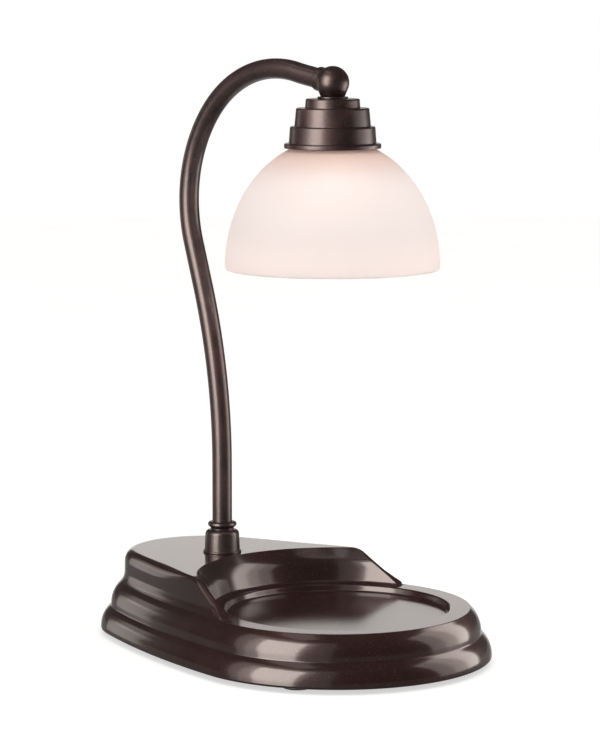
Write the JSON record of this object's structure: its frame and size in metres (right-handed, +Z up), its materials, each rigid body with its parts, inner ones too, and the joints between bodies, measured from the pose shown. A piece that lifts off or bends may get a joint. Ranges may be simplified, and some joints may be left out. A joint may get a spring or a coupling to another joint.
{
  "type": "candle warmer lamp",
  "caption": "Table lamp that warms a jar candle: egg-shaped stepped base with a round recess, crook-shaped arm and a frosted dome shade over the recess.",
  "frame": {"origin": "middle of the base's outline, on the surface that the feet stand on", "axes": "+Z up, -Y towards the candle's end, +Y towards the post"},
  "size_m": [0.1658, 0.2428, 0.3174],
  "materials": {
    "base_bronze": "moulded plastic, glossy brown-black bronze with fine light specks",
    "arm_bronze": "satin oil-rubbed bronze lacquer",
    "cover_black": "matt black sheet plastic",
    "rubber_black": "matt black rubber",
    "zinc_steel": "zinc-plated steel",
    "ballast_iron": "plain cast iron",
    "block_white": "white moulded plastic",
    "contact_brass": "plain brass",
    "socket_black": "black heat-proof plastic",
    "socket_ceramic": "cream heat-proof moulding",
    "frosted_glass": "frosted glass, warm white",
    "bulb_mirror": "silvered glass reflector",
    "bulb_glass": "clear glass",
    "lead_sleeve": "brown insulation",
    "lead_sleeve_blue": "blue insulation"
  },
  "bodies": {
    "lamp": {"base_shell": "base_bronze", "base_cover": "cover_black", "rubber_feet": "rubber_black", "cover_screws": "zinc_steel", "ballast_plate": "ballast_iron", "cord_bushing": "rubber_black", "terminal_block": "block_white", "terminal_screws": "contact_brass", "block_screw": "zinc_steel", "post_ferrule": "arm_bronze", "neck_ring": "arm_bronze", "arm_tube": "arm_bronze", "arm_washer": "zinc_steel", "arm_nut": "zinc_steel", "arm_ball": "arm_bronze", "ball_washer": "arm_bronze", "nipple": "zinc_steel", "nipple_nut": "zinc_steel", "shade_holder": "arm_bronze", "socket_bracket": "zinc_steel", "bracket_screws": "zinc_steel", "socket_body": "socket_ceramic", "socket_contacts": "contact_brass", "glass_shade": "frosted_glass", "lead_wire_live": "lead_sleeve", "lead_wire_neutral": "lead_sleeve_blue"},
    "bulb": {"bulb_base": "block_white", "bulb_pins": "zinc_steel", "bulb_reflector": "bulb_mirror", "bulb_lens": "bulb_glass", "bulb_burner": "bulb_glass"},
    "ring": {"shade_ring": "socket_black"}
  },
  "joints": [
    {"name": "bulb_twist", "type": "hinge", "parent": "lamp", "child": "bulb", "pos_m": [0, -0.03565, 0.2616], "axis": [0, 0, 1], "range_deg": [-40, 0]},
    {"name": "ring_turn", "type": "hinge", "parent": "lamp", "child": "ring", "pos_m": [0, -0.03565, 0.2643], "axis": [0, 0, 1], "range_deg": [-360, 0]}
  ]
}
